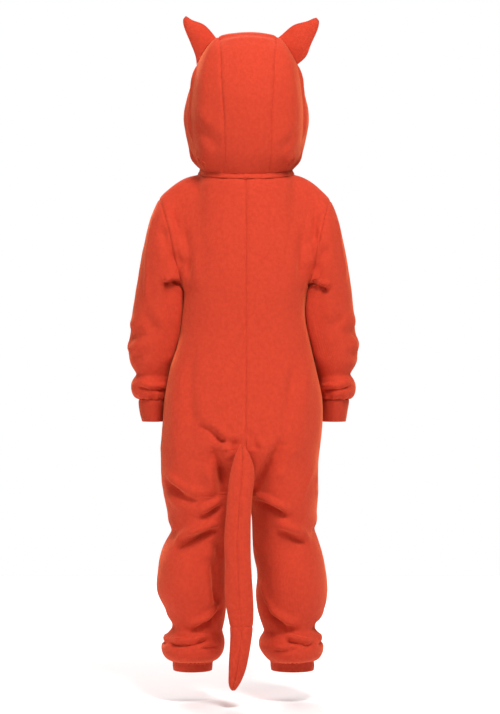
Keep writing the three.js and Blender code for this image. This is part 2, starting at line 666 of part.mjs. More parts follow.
// Half way between two of the neck band's corners, the hood leans as the straight band does.
for (const [side] of sides) {
  for (let corner = 0; corner < 2 * NECK_COLUMNS; corner++) {
    const ends = [corner, corner + 1].map((c) => sums.get(keyOf(hoodNeckPoint(side, c))).clone().normalize());
    sums.set(keyOf(hoodNeckPoint(side, corner + 0.5)), ends[0].add(ends[1]));
  }
}
for (const piece of sewn) {
  const pressed = piece.thickness === BAND_CLOTH;
  sew(piece.name, wall({ ...piece, sums }), pressed ? pressedFleece : orangeFleece);
}

// Ears and zip tapes lie on other pieces, so each has normals of its own.
function sewOn(name, piece, material) {
  const own = new Map();
  addNormals(own, piece.grid, piece.flip, false);
  sew(name, wall({ ...piece, sums: own }), material);
}
for (const [side, sideName] of sides) {
  for (const [face, faceName] of faces) {
    const ear = { grid: earGrid(side, face), flip: side * face < 0 };
    sewOn(`ear_${sideName}_${faceName}`, ear, orangeFleece);
  }
  const tape = { grid: zipTapeGrid(side), thickness: TAPE, flip: side === LEFT };
  sewOn(`zip_tape_${sideName}`, tape, zipTapeCloth);
}

// The slider stands near the top of the closed zip, square to the tapes, and its pull hangs from the bridge.
const tapeLine = zipTapeGrid(LEFT).map(([centre]) => centre);
const sliderRow = tapeLine.findIndex((p) => p.z < SLIDER_Z);
const [above, below] = [tapeLine[sliderRow - 1], tapeLine[sliderRow]];
const sliderAt = above.clone().lerp(below, (above.z - SLIDER_Z) / (above.z - below.z));
const slider = new THREE.Group();
slider.position.set(0, sliderAt.y, sliderAt.z);
slider.rotation.x = -Math.atan2(above.y - below.y, above.z - below.z);
const sliderMesh = new THREE.Mesh(sliderGeometry(), castZinc);
sliderMesh.name = "zip_slider";
const pullMesh = new THREE.Mesh(pullGeometry(), castZinc);
pullMesh.name = "zip_pull";
pullMesh.position.set(0, sliderFace - PULL.play - PULL.thickness / 2, 0);
slider.add(sliderMesh, pullMesh);
onesie.add(slider);

export default onesie;
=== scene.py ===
# A child's hooded fleece onesie with fox ears and a tail, hanging as if worn, seen from behind.
import math
import bmesh
import bpy
import numpy as np
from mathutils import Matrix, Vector, noise
from mathutils.bvhtree import BVHTree
from mathutils.geometry import area_tri
from mathutils.kdtree import KDTree


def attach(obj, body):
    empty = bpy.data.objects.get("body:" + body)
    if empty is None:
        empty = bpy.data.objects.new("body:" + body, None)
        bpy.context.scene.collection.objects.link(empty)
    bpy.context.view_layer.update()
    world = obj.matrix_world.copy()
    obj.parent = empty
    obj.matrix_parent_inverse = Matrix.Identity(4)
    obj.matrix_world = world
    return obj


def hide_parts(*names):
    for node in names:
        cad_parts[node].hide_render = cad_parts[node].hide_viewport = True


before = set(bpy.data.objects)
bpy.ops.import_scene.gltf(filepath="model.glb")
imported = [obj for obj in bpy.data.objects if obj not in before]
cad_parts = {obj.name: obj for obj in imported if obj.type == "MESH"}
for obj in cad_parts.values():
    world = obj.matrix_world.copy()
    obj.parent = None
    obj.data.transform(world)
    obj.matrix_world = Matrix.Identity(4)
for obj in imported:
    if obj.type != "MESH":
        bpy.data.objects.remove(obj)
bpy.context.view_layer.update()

mm = 0.001
scene = bpy.context.scene

# ---- camera, floor and light ----

cameraSetup = {
    "place": (-7 * mm, 4500 * mm, -319 * mm),
    "heightSeen": 1285 * mm,  # in the frontal plane through the origin
    "sensor": 36,
}
cameraData = bpy.data.cameras.new("studioCamera")
camera = bpy.data.objects.new("studioCamera", cameraData)
scene.collection.objects.link(camera)
camera.location = cameraSetup["place"]
camera.rotation_euler = (math.pi / 2, 0, math.pi)
cameraData.sensor_width = cameraSetup["sensor"]
cameraData.lens = cameraSetup["sensor"] * camera.location.y / cameraSetup["heightSeen"]
scene.camera = camera
scene.view_settings.view_transform = "Standard"


def hexColour(text, alpha=1.0):  # sRGB hex to linear
    parts = [int(text[i:i + 2], 16) / 255 for i in (0, 2, 4)]
    return (*[p / 12.92 if p <= 0.04045 else ((p + 0.055) / 1.055) ** 2.4 for p in parts], alpha)


def newMaterial(name):
    material = bpy.data.materials.new(name)
    material.use_nodes = True
    material.node_tree.nodes.clear()
    return material


# Adds a node, sets its properties and input values, and links the inputs that are given as sockets.
def addNode(tree, kind, settings=None, **inputs):
    node = tree.nodes.new(kind)
    for key, value in (settings or {}).items():
        setattr(node, key, value)
    for key, value in inputs.items():
        name = key.replace("_", " ")
        socket = node.inputs[int(key[1:])] if key[0] == "i" and key[1:].isdigit() else node.inputs[name]
        if isinstance(value, bpy.types.NodeSocket):
            tree.links.new(value, socket)
        else:
            socket.default_value = value
    return node


def addMesh(name, vertices, faces, material=None):
    mesh = bpy.data.meshes.new(name)
    mesh.from_pydata([tuple(v) for v in vertices], [], [tuple(f) for f in faces])
    if material:
        mesh.materials.append(material)
    obj = bpy.data.objects.new(name, mesh)
    scene.collection.objects.link(obj)
    return obj


studio = {
    "floorHeight": -936 * mm,
    "floorSize": 5,
    "floorColour": "fdfdfc",
    "paper": 1.0,  # how bright the white room looks
    "roomLight": 0.21,  # how much light it gives
    "lights": [  # name, place, size, power: all look at the middle of the garment
        ("keyLight", (-0.7, 2.0, 2.5), 1.0, 120),
        ("fillLight", (2.4, 2.9, 1.4), 1.8, 32),
        ("frontLight", (1.0, -3.0, 2.0), 2.2, 80),
        ("floorLight", (0.0, -5.5, 6.0), 7.0, 390),
    ],
}
paintedFloor = newMaterial("paintedFloor")  # matt white paint
floorShader = addNode(paintedFloor.node_tree, "ShaderNodeBsdfPrincipled",
                      Base_Color=hexColour(studio["floorColour"]), Roughness=0.9)
addNode(paintedFloor.node_tree, "ShaderNodeOutputMaterial", Surface=floorShader.outputs[0])
half = studio["floorSize"] / 2
floor = addMesh("floor", [(-half, -half, 0), (half, -half, 0), (half, half, 0), (-half, half, 0)], [(0, 1, 2, 3)],
                paintedFloor)
floor.location.z = studio["floorHeight"]

world = bpy.data.worlds.new("studioWorld")
scene.world = world
world.use_nodes = True
world.node_tree.nodes.clear()
room = world.node_tree
roomLight = addNode(room, "ShaderNodeBackground", Color=(1, 1, 1, 1), Strength=studio["roomLight"])
paper = addNode(room, "ShaderNodeBackground", Color=(1, 1, 1, 1), Strength=studio["paper"])
seen = addNode(room, "ShaderNodeLightPath")
air = addNode(room, "ShaderNodeMixShader", i0=seen.outputs["Is Camera Ray"], i1=roomLight.outputs[0],
              i2=paper.outputs[0])
addNode(room, "ShaderNodeOutputWorld", Surface=air.outputs[0])
for name, place, size, power in studio["lights"]:
    lampData = bpy.data.lights.new(name, "AREA")
    lampData.shape = "DISK"
    lampData.size = size
    lampData.energy = power
    lamp = bpy.data.objects.new(name, lampData)
    scene.collection.objects.link(lamp)
    lamp.location = place
    lamp.rotation_euler = (Vector((0, 0, -0.35)) - lamp.location).to_track_quat("-Z", "Y").to_euler()
print("studio ready")

# ---- cloth materials ----

# Polyester fleece, knitted, then brushed to a short nap: matt, with a pale bloom where it turns away.
fleeceLook = {
    "colour": "c93f27",
    # painted shade in the hollows of the nap; the tufts themselves lie at random
    "shade": "c03923",  # in the hollows of the nap
    "bloom": "ff8454",
    "napSize": 2.4 * mm,
    "tuftSize": 6 * mm,
    "waleSpacing": 2.7 * mm,  # a real 1.2 mm wale would be too fine to show, so it is drawn coarser
}


def makeFleece(name, look, paintedShade=0.0, napBump=0.5):
    material = newMaterial(name)
    tree = material.node_tree
    place = addNode(tree, "ShaderNodeTexCoord")
    tufts = addNode(tree, "ShaderNodeTexNoise", Vector=place.outputs["Object"], Scale=1 / look["tuftSize"],
                    Detail=4.0, Roughness=0.6)
    nap = addNode(tree, "ShaderNodeTexNoise", Vector=place.outputs["Object"], Scale=1 / look["napSize"],
                  Detail=5.0, Roughness=0.7)
    wales = addNode(tree, "ShaderNodeTexWave", {"bands_direction": "X"}, Vector=place.outputs["UV"],
                    Scale=math.pi / (10 * look["waleSpacing"]), Distortion=1.5, Detail=2.0)
    colour = hexColour(look["colour"])
    shade = hexColour(look["shade"])
    # paintedShade darkens the whole colour as painted shade, for a shaded copy of the fleece
    if paintedShade:
        colour = (*[c * (1 - paintedShade) for c in colour[:3]], 1)
        shade = (*[c * (1 - paintedShade) for c in shade[:3]], 1)
    # where the tufts dip in the bump, the colour goes to the painted hollow shade
    patches = addNode(tree, "ShaderNodeMapRange", Value=tufts.outputs["Fac"], From_Min=0.35, From_Max=0.65)
    base = addNode(tree, "ShaderNodeMix", {"data_type": "RGBA"}, i0=patches.outputs[0], i6=shade, i7=colour)
    napHeight = addNode(tree, "ShaderNodeMath", {"operation": "MULTIPLY_ADD"}, i0=wales.outputs["Fac"], i1=0.3,
                        i2=nap.outputs["Fac"])
    height = addNode(tree, "ShaderNodeMath", {"operation": "MULTIPLY_ADD"}, i0=tufts.outputs["Fac"], i1=0.25,
                     i2=napHeight.outputs[0])
    bump = addNode(tree, "ShaderNodeBump", Height=height.outputs[0], Strength=napBump, Distance=1.1 * mm)
    shader = addNode(tree, "ShaderNodeBsdfPrincipled", Base_Color=base.outputs[2], Roughness=0.92,
                     Normal=bump.outputs[0])
    shader.inputs["Sheen Weight"].default_value = 0.7
    shader.inputs["Sheen Roughness"].default_value = 0.38
    shader.inputs["Sheen Tint"].default_value = hexColour(look["bloom"])
    shader.inputs["Specular IOR Level"].default_value = 0.2
    addNode(tree, "ShaderNodeOutputMaterial", Surface=shader.outputs[0])
    return material


brushedFleece = makeFleece("brushedFleece", fleeceLook)
# The bands' fleece: a flatter nap, and its colour 16% darker as painted shade
pressedFleeceShaded = makeFleece("pressedFleeceShaded", fleeceLook, paintedShade=0.16, napBump=0.3)

# Woven polyester tape: a fine herringbone rib across it, with a slight shine and painted shade in the rib grooves.
tapeLook = {"colour": "a8331d", "shade": "8c2614", "ribSpacing": 1.1 * mm}
wovenTape = newMaterial("wovenTape")
tapeTree = wovenTape.node_tree
tapePlace = addNode(tapeTree, "ShaderNodeTexCoord")
tapeRibs = addNode(tapeTree, "ShaderNodeTexWave", {"bands_direction": "Y"}, Vector=tapePlace.outputs["UV"],
                   Scale=math.pi / (10 * tapeLook["ribSpacing"]), Distortion=0.8, Detail=1.0)
tapeFuzz = addNode(tapeTree, "ShaderNodeTexNoise", Vector=tapePlace.outputs["Object"], Scale=900.0, Detail=3.0)
# the rib grooves, low in the bump, take the darker colour: painted shade
tapeColour = addNode(tapeTree, "ShaderNodeMix", {"data_type": "RGBA"}, i0=tapeRibs.outputs["Fac"],
                     i6=hexColour(tapeLook["shade"]), i7=hexColour(tapeLook["colour"]))
tapeHeight = addNode(tapeTree, "ShaderNodeMath", {"operation": "MULTIPLY_ADD"}, i0=tapeFuzz.outputs["Fac"], i1=0.4,
                     i2=tapeRibs.outputs["Fac"])
tapeBump = addNode(tapeTree, "ShaderNodeBump", Height=tapeHeight.outputs[0], Strength=0.4, Distance=0.25 * mm)
tapeShader = addNode(tapeTree, "ShaderNodeBsdfPrincipled", Base_Color=tapeColour.outputs[2], Roughness=0.72,
                     Normal=tapeBump.outputs[0])
addNode(tapeTree, "ShaderNodeOutputMaterial", Surface=tapeShader.outputs[0])


# Small parts whose colour and shine waver a little over their surface.
def makeSmooth(name, colour, worn, grain, roughness, metallic=0.0):
    material = newMaterial(name)
    tree = material.node_tree
    place = addNode(tree, "ShaderNodeTexCoord")
    cloud = addNode(tree, "ShaderNodeTexNoise", Vector=place.outputs["Object"], Scale=1 / grain, Detail=4.0)
    mixed = addNode(tree, "ShaderNodeMix", {"data_type": "RGBA"}, i0=cloud.outputs["Fac"], i6=hexColour(worn),
                    i7=hexColour(colour))
    shine = addNode(tree, "ShaderNodeMapRange", Value=cloud.outputs["Fac"], To_Min=roughness + 0.12,
                    To_Max=roughness - 0.08)
    bump = addNode(tree, "ShaderNodeBump", Height=cloud.outputs["Fac"], Strength=0.15, Distance=0.1 * mm)
    shader = addNode(tree, "ShaderNodeBsdfPrincipled", Base_Color=mixed.outputs[2], Roughness=shine.outputs[0],
                     Metallic=metallic, Normal=bump.outputs[0])
    addNode(tree, "ShaderNodeOutputMaterial", Surface=shader.outputs[0])
    return material


mouldedPolyester = makeSmooth("mouldedPolyester", "b03a22", "9a2d18", 3 * mm, 0.4)  # teeth dyed to match
polyesterThread = makeSmooth("polyesterThread", "cf4a2c", "b23a20", 1 * mm, 0.55)  # smooth among the nap
tumbledZinc = makeSmooth("tumbledZinc", "bdb8b0", "9a958c", 1.5 * mm, 0.36, metallic=1.0)  # soft grey shine

# ---- reading a panel's grid back from its solid ----

wallOf = {"cuff_left": 2.6 * mm, "cuff_right": 2.6 * mm, "ankle_left": 2.6 * mm, "ankle_right": 2.6 * mm,
          "zip_tape_left": 1 * mm, "zip_tape_right": 1 * mm}
fleeceWall = 2 * mm


# The middle of a panel's wall: the outer and the inner face are the same grid, one thickness apart.
def middleTriangles(nodeName):
    thickness = wallOf.get(nodeName, fleeceWall)
    work = bmesh.new()
    work.from_mesh(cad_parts[nodeName].data)
    bmesh.ops.remove_doubles(work, verts=work.verts[:], dist=0.01 * mm)
    work.normal_update()
    work.verts.ensure_lookup_table()
    tree = KDTree(len(work.verts))
    for vertex in work.verts:
        tree.insert(vertex.co, vertex.index)
    tree.balance()
    partner = {}
    for vertex in work.verts:
        best = 0.0
        for place, index, distance in tree.find_range(vertex.co, thickness * 1.01):
            if abs(distance - thickness) < 0.01 * mm:
                facing = abs((place - vertex.co).dot(vertex.normal))
                if facing > best:
                    best, partner[vertex.index] = facing, index
    # A face on the rim holds a point and its partner, and the faces of the two layers don't meet.
    triangles = [[v.index for v in face.verts] for face in work.faces]
    triangles = [t for t in triangles if not any(partner[c] in t for c in t)]
    users = {}
    for number, corners in enumerate(triangles):
        for c in corners:
            users.setdefault(c, []).append(number)
    layer, waiting = {0}, [0]
    while waiting:
        for c in triangles[waiting.pop()]:
            new = [n for n in users[c] if n not in layer]
            layer.update(new)
            waiting += new
    spot = [v.co for v in work.verts]
    layers = [[t for n, t in enumerate(triangles) if (n in layer) == first] for first in (True, False)]
    triangles = max(layers, key=lambda group: sum(area_tri(*(spot[c] for c in t)) for t in group))
    middle = {c: (work.verts[c].co + work.verts[partner[c]].co) / 2 for t in triangles for c in t}
    work.free()
    return middle, triangles


# Joins the triangles in pairs, across the one family of edges that runs diagonally over the grid.
def gridQuads(middle, triangles):
    beside = {}
    for number, corners in enumerate(triangles):
        for i in range(3):
            beside.setdefault(frozenset((corners[i], corners[(i + 1) % 3])), []).append(number)
    rim = [edge for edge, users in beside.items() if len(users) == 1]
    start = beside[rim[0]][0]
    family = {}
    for i in range(3):
        corners = triangles[start]
        family[frozenset((corners[i], corners[(i + 1) % 3]))] = i
    waiting = [start]
    seen = {start}
    while waiting:
        corners = triangles[waiting.pop()]
        for i in range(3):
            apex, a, b = corners[i], corners[(i + 1) % 3], corners[(i + 2) % 3]
            for other in beside[frozenset((a, b))]:
                if other in seen:
                    continue
                far = next(c for c in triangles[other] if c not in (a, b))
                family[frozenset((b, far))] = family[frozenset((apex, a))]
                family[frozenset((a, far))] = family[frozenset((apex, b))]
                seen.add(other)
                waiting.append(other)
    length = {0: [], 1: [], 2: []}
    for edge, kind in family.items():
        a, b = edge
        length[kind].append((middle[a] - middle[b]).length)
    onRim = {family[edge] for edge in rim}
    diagonal = max((k for k in range(3) if k not in onRim), key=lambda k: sum(length[k]))
    quads = []
    for edge, kind in family.items():
        if kind != diagonal:
            continue
        first, second = (triangles[t] for t in beside[edge])
        apex = next(c for c in first if c not in edge)
        far = next(c for c in second if c not in edge)
        p = first[(first.index(apex) + 1) % 3]
        q = first[(first.index(apex) + 2) % 3]
        quads.append((p, far, q, apex))
    return quads


# Counts rows and columns from one quad to the next, then measures them: the panel laid flat, in metres.
def flatCorners(middle, quads):
    beside = {}
    for number, quad in enumerate(quads):
        for i in range(4):
            beside.setdefault(frozenset((quad[i], quad[(i + 1) % 4])), []).append(number)
    start = quads[0]
    placed = {0: {start[0]: (0, 0), start[1]: (1, 0), start[2]: (1, 1), start[3]: (0, 1)}}

    def spread(number, axis, way):  # goes on from one quad until the rim, or round to a quad that is placed
        line = []
        while True:
            at = placed[number]
            last = max(way * key[axis] for key in at.values())
            edge = [vertex for vertex, key in at.items() if way * key[axis] == last]
            following = [n for n in beside[frozenset(edge)] if n != number and n not in placed]
            if not following:
                return line
            number = following[0]
            loop = quads[number]
            placed[number] = {vertex: at[vertex] for vertex in edge}
            for vertex in edge:
                i = loop.index(vertex)
                beyond = [loop[i - 1], loop[(i + 1) % 4]]
                across = beyond[0] if beyond[1] in edge else beyond[1]
                placed[number][across] = tuple(key + way * (n == axis) for n, key in enumerate(at[vertex]))
            line.append(number)

    row = [0] + spread(0, 0, 1) + spread(0, 0, -1)
    for number in row:
        spread(number, 1, 1)
        spread(number, 1, -1)
    spot = {}
    for at in placed.values():
        for vertex, key in at.items():
            spot[key] = middle[vertex]
    lowest = [min(k[i] for k in spot) for i in (0, 1)]
    spot = {(k[0] - lowest[0], k[1] - lowest[1]): v for k, v in spot.items()}
    size = [max(k[i] for k in spot) for i in (0, 1)]
    rise = [0.0, 0.0]
    for (i, j), place in spot.items():
        if (i + 1, j) in spot:
            rise[0] += abs(spot[i + 1, j].z - place.z) / (size[0] * (size[1] + 1))
        if (i, j + 1) in spot:
            rise[1] += abs(spot[i, j + 1].z - place.z) / (size[1] * (size[0] + 1))
    down = 0 if rise[0] * size[0] > rise[1] * size[1] else 1
    get = (lambda r, c: spot[r, c]) if down == 0 else (lambda r, c: spot[c, r])
    rows, columns = size[down], size[1 - down]
    along = np.zeros(rows + 1)
    across = np.zeros((rows + 1, columns + 1))
    for r in range(rows + 1):
        for c in range(columns):
            across[r, c + 1] = across[r, c] + (get(r, c + 1) - get(r, c)).length
        across[r] -= across[r, -1] / 2
    for r in range(rows):
        along[r + 1] = along[r] + np.mean([(get(r + 1, c) - get(r, c)).length for c in range(columns + 1)])
    flat = []
    for number, quad in enumerate(quads):
        corners = []
        for vertex in quad:
            key = (placed[number][vertex][0] - lowest[0], placed[number][vertex][1] - lowest[1])
            r, c = (key if down == 0 else (key[1], key[0]))
            corners.append((across[r, c], -along[r]))
        flat.append(corners)
    width = float(np.max(across[:, -1] - across[:, 0]))
    return flat, (width, float(along[-1]))


# ---- one welded, subdivided sheet from several panels ----

# Returns the smooth mesh as arrays: vertex places, quads, corner positions on the flat cloth, panel of each quad.
def sewnSheet(label, nodeNames, levels, weld=0.6 * mm):
    places, quads, flats, panelOf, cuts = [], [], [], [], {}
    for number, nodeName in enumerate(nodeNames):
        middle, triangles = middleTriangles(nodeName)
        panelQuads = gridQuads(middle, triangles)
        flat, size = flatCorners(middle, panelQuads)
        index = {vertex: len(places) + i for i, vertex in enumerate(middle)}
        places += middle.values()
        quads += [tuple(index[v] for v in quad) for quad in panelQuads]
        flats += flat
        panelOf += [number] * len(panelQuads)
        cuts[nodeName] = size
    cage = addMesh(label + "Cage", places, quads)
    flatMap = cage.data.uv_layers.new(name="flatCloth")
    flatMap.data.foreach_set("uv", np.array(flats, dtype=np.float32).ravel())
    cage.data.attributes.new("panel", "INT", "FACE").data.foreach_set("value", panelOf)
    work = bmesh.new()
    work.from_mesh(cage.data)
    bmesh.ops.remove_doubles(work, verts=work.verts[:], dist=weld)
    work.to_mesh(cage.data)
    work.free()
    smooth = cage.modifiers.new("smooth", "SUBSURF")
    smooth.levels = smooth.render_levels = levels
    smooth.boundary_smooth = "PRESERVE_CORNERS"
    goal = np.empty(len(cage.data.vertices) * 3)
    cage.data.vertices.foreach_get("co", goal)
    for turn in range(2):  # the smooth sheet is drawn back out to the points of its cage
        reached = evaluated(cage)
        got = np.empty(len(reached.vertices) * 3)
        reached.vertices.foreach_get("co", got)
        now = np.empty(len(goal))
        cage.data.vertices.foreach_get("co", now)
        cage.data.vertices.foreach_set("co", now + 0.8 * (goal - got[:len(goal)]))
        cage.data.update()
    result = evaluated(cage)
    vertices = np.empty(len(result.vertices) * 3)
    result.vertices.foreach_get("co", vertices)
    faces = np.empty(len(result.polygons) * 4, dtype=np.int64)
    result.loops.foreach_get("vertex_index", faces)
    flatUv = np.empty(len(result.loops) * 2)
    result.uv_layers["flatCloth"].data.foreach_get("uv", flatUv)
    panels = np.empty(len(result.polygons), dtype=np.int64)
    result.attributes["panel"].data.foreach_get("value", panels)
    bpy.data.objects.remove(cage)
    print(label, "sheet:", len(panels), "quads")
    return {"names": nodeNames, "cuts": cuts, "places": vertices.reshape(-1, 3), "quads": faces.reshape(-1, 4),
            "flat": flatUv.reshape(-1, 4, 2), "panels": panels}


def evaluated(obj):
    bpy.context.view_layer.update()
    return bpy.data.meshes.new_from_object(obj.evaluated_get(bpy.context.evaluated_depsgraph_get()))


def vertexNormals(places, quads):
    a, b, c, d = (places[quads[:, i]] for i in range(4))
    faceNormals = np.cross(c - a, d - b)
    normals = np.zeros_like(places)
    for i in range(4):
        np.add.at(normals, quads[:, i], faceNormals)
    return normals / np.maximum(np.linalg.norm(normals, axis=1, keepdims=True), 1e-12)


def treeOf(places, chosen):
    tree = KDTree(len(chosen))
    for i in chosen:
        tree.insert(places[i], int(i))
    tree.balance()
    return tree


# ---- folds ----

# Each fold is laid on the cloth along a line, given in millimetres. "back" and "front" lines are X and Z in
# the frontal plane, as they look from the camera's distance; "left" and "right" lines are Y and Z from the side.
# Width is from the middle of the fold to its edge, and depth is in millimetres, below 0 for a trough. Roll is how
# much the cloth above a trough, or below it if negative, bulges over it.
bodyFolds = [
    # view, width, depth, roll, line
    # back yoke and armholes
    ("back", 8, -3, 0.6, [(130, -49), (127, -72), (124, -96)]),
    ("back", 13, -4, 0.2, [(113, -80), (105, -130), (102, -184)]),
    ("back", 15, 2, 0, [(94, -90), (90, -150), (88, -216)]),
    ("back", 8, -3, 0.6, [(-126, -62), (-123, -90), (-124, -118)]),
    ("back", 16, 3, 0, [(-79, -126), (-81, -180), (-78, -228)]),
    ("back", 13, -4, 0.2, [(-104, -84), (-98, -130), (-96, -182)]),
    # back of the body
    ("back", 22, 4, 0, [(124, -306), (127, -400), (120, -540)]),
    ("back", 14, -3, 0.6, [(98, -300), (100, -380), (96, -470)]),
    ("back", 18, 4, 0, [(-115, -315), (-106, -378), (-94, -450), (-86, -504)]),
    ("back", 12, -3, 0.6, [(-84, -330), (-76, -400), (-66, -450)]),
    # sleeves from behind
    ("back", 14, -6, 0.6, [(156, -80), (138, -122), (120, -162)]),
    ("back", 15, 5, 0, [(148, -160), (138, -170), (126, -178)]),
    ("back", 6, -11, 0.8, [(150, -189), (134, -184), (116, -185)]),
    ("back", 13, -5, 0.6, [(-148, -116), (-133, -142), (-115, -171)]),
    ("back", 6, -11, 0.8, [(-108, -187), (-128, -190), (-152, -200)]),
    ("back", 14, 4, 0, [(-118, -176), (-134, -180)]),
    ("back", 7, 2.5, 0, [(163, -50), (170, -81), (175, -108), (178, -144), (180, -234)]),
    ("back", 7, 2.5, 0, [(-160, -59), (-166, -90), (-170, -118), (-176, -153), (-180, -190)]),
    ("back", 16, -3, 0.6, [(186, -235), (170, -262), (150, -276)]),
    ("back", 16, -3, 0.6, [(-176, -240), (-160, -262), (-142, -270)]),
    ("back", 6, -6, 0.6, [(200, -371), (172, -379), (140, -378)]),
    ("back", 6, -6, 0.6, [(-134, -379), (-166, -378), (-200, -369)]),
    # seat
    ("back", 8, -8, 0.7, [(92, -438), (66, -449), (47, -467), (27, -482)]),
    ("back", 7, -5, 0.6, [(-7, -454), (-13, -470), (-23, -490)]),
    ("back", 12, -7, 0.6, [(21, -466), (19, -478), (20, -490)]),
    ("back", 15, -13, 0.6, [(-68, -464), (-52, -495), (-29, -536), (-9, -570)]),
    ("back", 12, 4, 0, [(-88, -470), (-76, -505), (-56, -545)]),
    ("back", 15, -12, 0.6, [(62, -476), (50, -508), (38, -560)]),
    ("back", 20, -8, 0.6, [(44, -512), (40, -545), (40, -578)]),
    # thighs and knees from behind
    ("back", 11, -9, 0.7, [(150, -535), (133, -554), (110, -571), (83, -581)]),
    ("back", 11, 4, 0, [(146, -560), (120, -584), (90, -596)]),
    ("back", 9, -10, 0.7, [(84, -613), (61, -598), (37, -583)]),
    ("back", 9, -13, 0.7, [(130, -667), (110, -653), (83, -641), (61, -632), (38, -630)]),
    ("back", 10, 4, 0, [(126, -642), (100, -629), (70, -616)]),
    ("back", 16, -6, 0.6, [(54, -646), (50, -664), (50, -684)]),
    ("back", 6, -4, 0.6, [(148, -622), (136, -631), (120, -634)]),
    ("back", 14, -9, 0.6, [(60, -684), (56, -730), (50, -774)]),
    ("back", 9, -11, 0.7, [(103, -814), (66, -797), (42, -765)]),
    ("back", 9, -11, 0.7, [(-10, -576), (-34, -585), (-61, -599), (-80, -612)]),
    ("back", 10, -9, 0.7, [(-48, -631), (-70, -635), (-97, -648), (-116, -662)]),
    ("back", 10, 4, 0, [(-50, -612), (-80, -628), (-112, -640)]),
    ("back", 5, 2, 0, [(-124, -513), (-112, -540), (-97, -585)]),
    ("back", 5, 2, 0, [(-128, -522), (-124, -549), (-126, -576)]),
    ("back", 5, 2.5, 0, [(-11, -639), (-16, -655), (-23, -671)]),
    ("back", 5, 2.5, 0, [(-25, -716), (-31, -740), (-40, -765)]),
    ("back", 10, -11, 0.7, [(-29, -756), (-43, -783), (-70, -806), (-98, -811)]),
    # bunched above the ankle bands
    ("back", 6, -8, 0.8, [(149, -828), (128, -837), (101, -838), (61, -826)]),
    ("back", 5, -4, 0.6, [(84, -843), (66, -843), (50, -839)]),
    ("back", 6, -8, 0.8, [(-66, -828), (-88, -833), (-112, -838), (-126, -833)]),
    ("back", 5, -4, 0.6, [(-43, -846), (-65, -849), (-97, -844)]),
    # the front, which hangs plainly from the chest
    ("front", 12, -4, 0.6, [(-118, -90), (-108, -150), (-104, -215)]),
    ("front", 12, -4, 0.6, [(118, -96), (110, -150), (104, -205)]),
    ("front", 14, -4, 0.6, [(138, -116), (128, -150), (116, -178)]),
    ("front", 14, -4, 0.6, [(-140, -118), (-130, -148), (-117, -176)]),
    ("front", 7, -6, 0.6, [(116, -186), (130, -190), (146, -197)]),
    ("front", 7, -6, 0.6, [(-115, -188), (-130, -191), (-148, -196)]),
    ("front", 20, 4, 0, [(108, -300), (112, -380), (106, -470)]),
    ("front", 18, 4, 0, [(-100, -310), (-106, -390), (-98, -460)]),
    ("front", 12, -6, 0.6, [(12, -530), (38, -512), (70, -500)]),
    ("front", 10, -5, 0.6, [(14, -556), (46, -548), (80, -548)]),
    ("front", 12, -6, 0.6, [(-12, -534), (-36, -518), (-66, -508)]),
    ("front", 10, -5, 0.6, [(-16, -560), (-44, -556), (-72, -560)]),
    ("front", 10, -7, 0.6, [(44, -628), (72, -640), (104, -642), (130, -634)]),
    ("front", 10, -7, 0.6, [(-30, -630), (-56, -640), (-90, -641), (-118, -630)]),
    ("front", 12, 4, 0, [(50, -612), (84, -622), (120, -618)]),
    ("front", 10, -6, 0.6, [(52, -790), (80, -806), (112, -812), (136, -800)]),
    ("front", 10, -6, 0.6, [(-40, -786), (-66, -804), (-96, -808), (-126, -797)]),
    ("front", 6, -5, 0.6, [(66, -830), (96, -839), (128, -836), (146, -828)]),
    ("front", 6, -5, 0.6, [(-48, -828), (-76, -838), (-106, -838), (-130, -830)]),
    ("front", 16, -4, 0.6, [(150, -262), (170, -280), (196, -284)]),
    ("front", 16, -4, 0.6, [(-142, -260), (-162, -280), (-188, -282)]),
    # the sides
    ("left", 16, -5, 0.6, [(-30, -270), (0, -284), (34, -276)]),
    ("left", 14, -4, 0.6, [(-34, -312), (-6, -322), (26, -314)]),
    ("right", 16, -5, 0.6, [(-32, -262), (-4, -276), (32, -272)]),
    ("right", 14, -4, 0.6, [(-36, -306), (-8, -318), (22, -310)]),
    ("left", 14, -3, 0.6, [(-56, -636), (-14, -628), (40, -634), (64, -650)]),
    ("right", 14, -3, 0.6, [(-52, -634), (-10, -627), (36, -632), (60, -646)]),
    ("left", 13, -3, 0.6, [(-44, -806), (0, -798), (46, -804)]),
    ("right", 13, -3, 0.6, [(-42, -802), (2, -797), (44, -806)]),
    ("left", 6, -5, 0.6, [(-50, -834), (-4, -829), (44, -832)]),
    ("right", 6, -5, 0.6, [(-48, -832), (0, -828), (46, -834)]),
]
hoodFolds = [
    ("back", 18, -4, 0.6, [(94, 100), (68, 76), (44, 54)]),
    ("back", 7, -7, 0.5, [(88, 41), (82, 34), (72, 27)]),
    ("back", 7, -7, 0.5, [(-87, 40), (-82, 34), (-73, 27)]),
    ("back", 14, -3, 0.6, [(-92, 84), (-74, 66), (-60, 48)]),
    ("back", 7, 2, 0, [(46, 248), (0, 254), (-56, 248)]),
    ("left", 8, -8, 0.4, [(4, 222), (6, 180), (4, 130), (6, 70), (14, 40)]),
    ("left", 6, 3, 0, [(18, 214), (20, 176), (18, 126), (20, 70)]),
    ("right", 8, -8, 0.4, [(4, 222), (7, 180), (5, 128), (6, 70), (14, 40)]),
    ("right", 6, 3, 0, [(18, 214), (20, 176), (19, 126), (20, 70)]),
    ("left", 12, -4, 0.6, [(-40, 60), (-20, 36), (10, 24)]),
    ("right", 12, -4, 0.6, [(-42, 56), (-20, 34), (12, 24)]),
    ("left", 10, 3, 0, [(-64, 66), (-46, 40), (-24, 26)]),
    ("right", 10, 3, 0, [(-66, 64), (-48, 38), (-22, 25)]),
]


def smoothStep(t):
    t = np.clip(t, 0, 1)
    return t * t * (3 - 2 * t)


